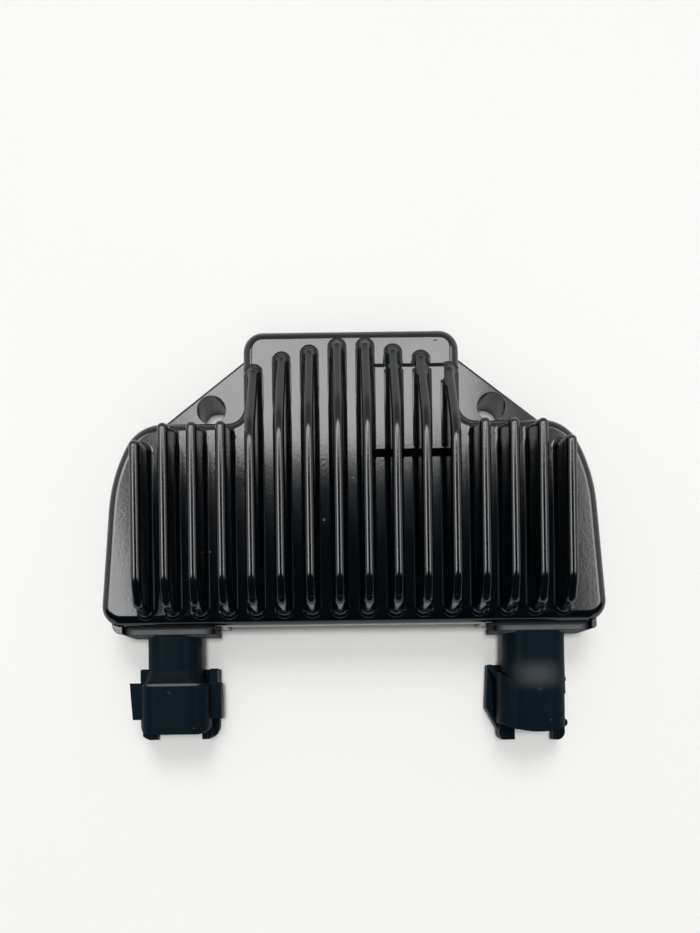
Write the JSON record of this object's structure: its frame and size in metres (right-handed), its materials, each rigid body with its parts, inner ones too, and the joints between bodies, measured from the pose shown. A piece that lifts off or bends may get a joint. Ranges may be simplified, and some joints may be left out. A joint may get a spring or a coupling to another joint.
{
  "type": "voltage regulator rectifier",
  "caption": "Finned black die-cast regulator rectifier with mounting ears, a raised tab and plug sockets for the stator and the battery.",
  "frame": {"origin": "midway between the axes of the mounting holes, on the back face that lies on the mounting plane", "axes": "+X across the fins along the long side, +Y towards the raised tab and away from the plugs, +Z out of the back face towards the fin crests"},
  "size_m": [0.1476, 0.1207, 0.031],
  "materials": {
    "black_casting": "gloss black enamel on die casting",
    "black_plug_plastic": "moulded black, satin",
    "resin": "cast black potting, dull",
    "thermal_sheet": "soft grey sheet",
    "board": "green laminate",
    "device_plastic": "moulded package",
    "capacitor_can": "drawn can",
    "resistor_body": "glazed chip",
    "terminal_metal": "tinned brass",
    "gasket_rubber": "moulded seal"
  },
  "bodies": {
    "root": {"battery_gasket": "gasket_rubber", "battery_plug_housing": "black_plug_plastic", "battery_terminal_1": "terminal_metal", "battery_terminal_2": "terminal_metal", "circuit_board": "board", "control_chip": "device_plastic", "gate_resistor_1": "resistor_body", "gate_resistor_2": "resistor_body", "gate_resistor_3": "resistor_body", "heat_sink_housing": "black_casting", "potting_resin": "resin", "rectifier_diode_1": "device_plastic", "rectifier_diode_2": "device_plastic", "rectifier_diode_3": "device_plastic", "shunt_resistor": "resistor_body", "stator_gasket": "gasket_rubber", "stator_plug_housing": "black_plug_plastic", "stator_terminal_1": "terminal_metal", "stator_terminal_2": "terminal_metal", "stator_terminal_3": "terminal_metal", "storage_capacitor": "capacitor_can", "thermal_sheet": "thermal_sheet", "thyristor_1": "device_plastic", "thyristor_2": "device_plastic", "thyristor_3": "device_plastic"}
  },
  "joints": []
}
